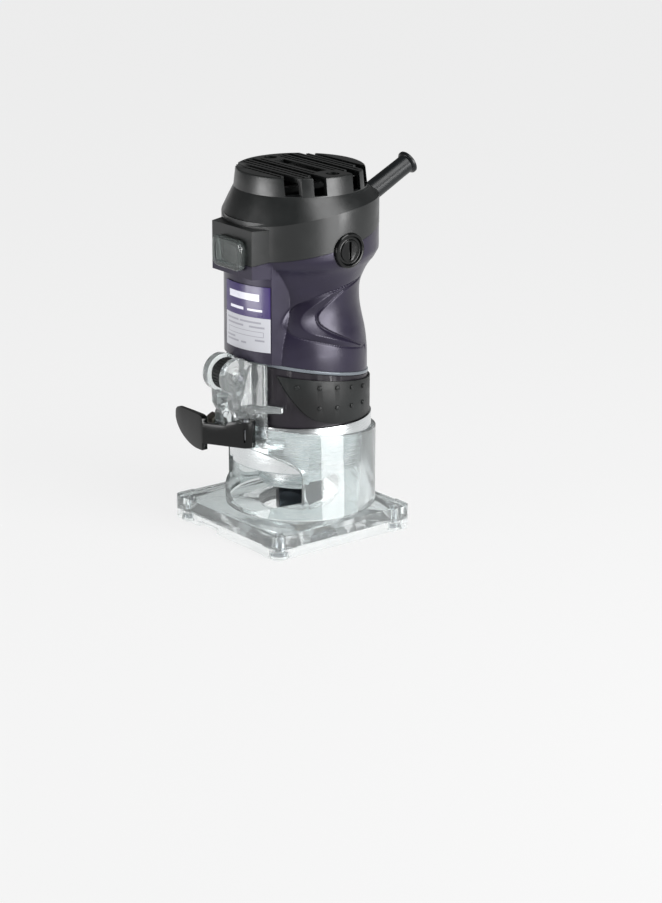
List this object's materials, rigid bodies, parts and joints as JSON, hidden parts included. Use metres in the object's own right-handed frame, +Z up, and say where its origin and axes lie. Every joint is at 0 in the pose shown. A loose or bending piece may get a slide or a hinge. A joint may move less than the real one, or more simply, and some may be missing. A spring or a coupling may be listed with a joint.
{
  "type": "trim router",
  "caption": "Upright electric trim router: a waisted motor that slides in a clear square base, with clamp lever, depth roller, switch and spindle.",
  "frame": {"origin": "on the underside of the foot, under the middle of the whole tool's bounding box; the spindle's axis is 7.8 mm in front of it", "axes": "+Z up along the spindle, -Y towards the operator's front with the label, switch and clamp, +Y where the cord guard leaves"},
  "size_m": [0.091, 0.1338, 0.1906],
  "materials": {
    "clear_acrylic": "clear moulded plastic, polished, with fine scratches",
    "violet_nylon": "dark violet-grey nylon, satin with a faint metallic tint",
    "plum_nylon": "plum-grey nylon, satin",
    "black_nylon": "charcoal nylon with a fine spark texture",
    "gloss_black": "black plastic, semi-gloss",
    "black_rubber": "matte black overmoulded rubber",
    "clear_rubber": "smoky clear flexible cap",
    "grey_seal": "pale grey plastic strip",
    "printed_label": "printed sheet in violet and white, laminated",
    "cast_aluminium": "machined, light satin",
    "steel": "zinc-plated steel",
    "black_oxide": "black oxide on steel",
    "brass": "drawn brass",
    "bronze": "sintered bronze",
    "copper": "enamelled copper wire",
    "carbon": "pressed carbon",
    "lamination": "stacked steel laminations, varnished"
  },
  "bodies": {
    "base": {"clear_base": "clear_acrylic", "sole_plate": "clear_acrylic", "sole_screw_1": "steel", "sole_screw_2": "steel", "sole_screw_3": "steel", "sole_screw_4": "steel", "clamp_bolt": "steel", "clamp_nut": "steel", "lever_pin": "steel", "roller_axle": "steel"},
    "lever": {"clamp_lever": "gloss_black"},
    "roller": {"roller_tyre": "black_rubber", "roller_hub": "black_nylon"},
    "motor": {"end_bracket": "cast_aluminium", "bracket_screw_1": "steel", "bracket_screw_2": "steel", "bracket_screw_3": "steel", "bracket_screw_4": "steel", "lower_sleeve": "plum_nylon", "rim_strip": "grey_seal", "grip_right": "black_rubber", "grip_left": "black_rubber", "motor_housing": "violet_nylon", "top_cover": "black_nylon", "cover_screw_right": "steel", "cover_screw_left": "steel", "label": "printed_label", "cord_guard": "black_rubber", "switch_body": "black_nylon", "switch_boot": "clear_rubber", "brush_holder_right": "brass", "carbon_brush_right": "carbon", "brush_spring_right": "steel", "brush_cap_right": "black_nylon", "brush_holder_left": "brass", "carbon_brush_left": "carbon", "brush_spring_left": "steel", "brush_cap_left": "black_nylon", "stator_core": "lamination", "field_coil_right": "copper", "field_coil_left": "copper", "bearing_bridge": "black_nylon", "upper_bearing": "steel", "lower_bearing": "steel"},
    "spindle": {"armature_shaft": "steel", "armature_core": "lamination", "armature_winding": "copper", "commutator": "copper", "cooling_fan": "black_nylon", "spindle_ring": "bronze", "collet": "steel", "collet_nut": "black_oxide"},
    "rocker": {"switch_rocker": "gloss_black"}
  },
  "joints": [
    {"name": "motor_slide", "type": "slide", "parent": "base", "child": "motor", "axis": [0, 0, 1], "range_m": [0, 0.026]},
    {"name": "roller_turn", "type": "hinge", "parent": "base", "child": "roller", "pos_m": [0, -0.0538, 0.088], "axis": [1, 0, 0], "range_deg": [0, 190]},
    {"name": "lever_turn", "type": "hinge", "parent": "base", "child": "lever", "pos_m": [0.012, -0.0518, 0.059], "axis": [0, 0, 1], "range_deg": [0, 100]},
    {"name": "spindle_spin", "type": "hinge", "parent": "motor", "child": "spindle", "pos_m": [0, -0.0078, 0.09], "axis": [0, 0, 1], "continuous": true},
    {"name": "rocker_tilt", "type": "hinge", "parent": "motor", "child": "rocker", "pos_m": [0, -0.0467, 0.1515], "axis": [1, 0, 0], "range_deg": [0, 12]}
  ],
  "couplings": [
    {"joint": "roller_turn", "follows": "motor_slide", "rad_per_m": 121.95}
  ]
}
